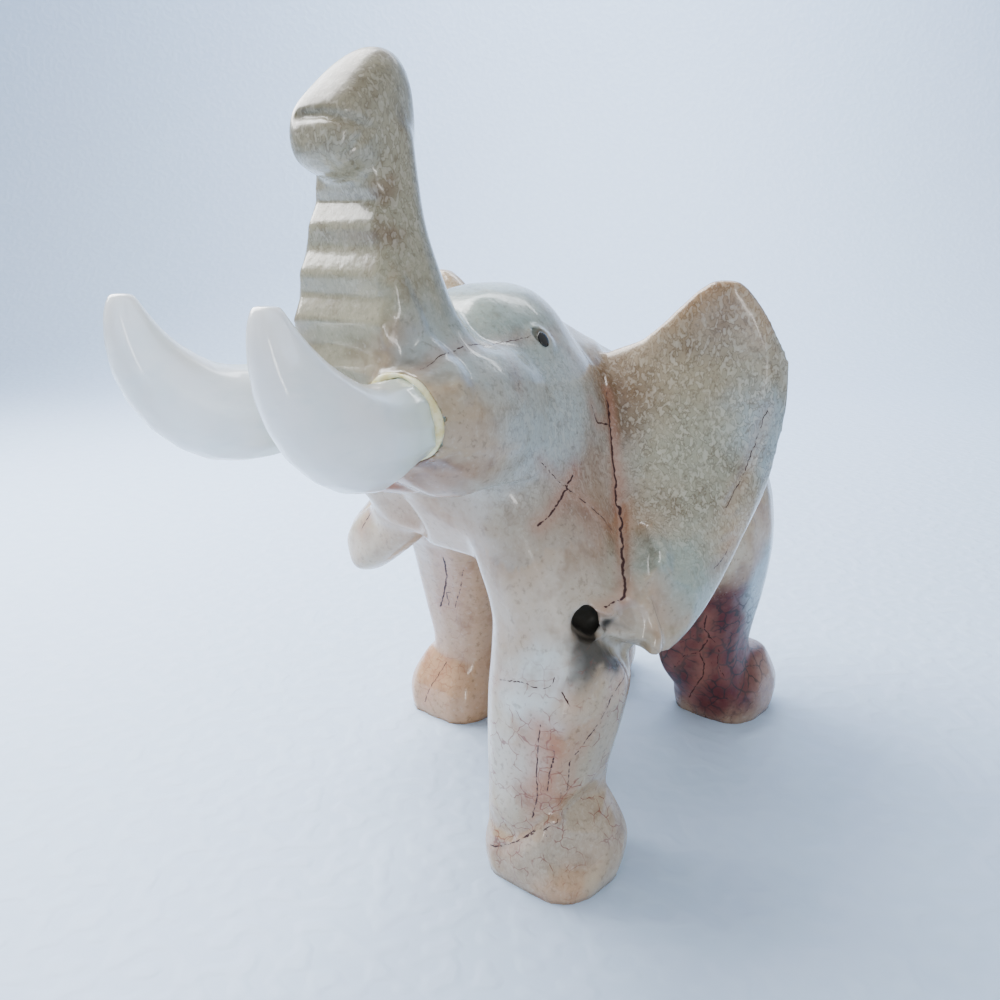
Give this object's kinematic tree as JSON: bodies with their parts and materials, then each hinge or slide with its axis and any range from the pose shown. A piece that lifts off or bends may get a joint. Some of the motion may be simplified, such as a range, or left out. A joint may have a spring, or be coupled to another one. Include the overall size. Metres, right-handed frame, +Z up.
{
  "type": "stone elephant figurine",
  "caption": "Walking elephant figurine of carved banded onyx, with a raised ribbed trunk, broad ears, inset pale tusks and black dot eyes, standing on its own feet.",
  "frame": {"origin": "under the middle of the figurine's bounding box, on the surface that the feet stand on", "axes": "+Z up; the elephant faces -Y and its left side is on +X"},
  "size_m": [0.098, 0.1594, 0.15],
  "materials": {
    "onyx": "polished beige and cream onyx with brown flecks and dark red veins",
    "milky_onyx": "polished milky white onyx that light passes into",
    "black_dot": "glossy black"
  },
  "bodies": {
    "root": {"elephant_body": "onyx", "tusk_left": "milky_onyx", "tusk_right": "milky_onyx", "eye_left": "black_dot", "eye_right": "black_dot"}
  },
  "joints": []
}
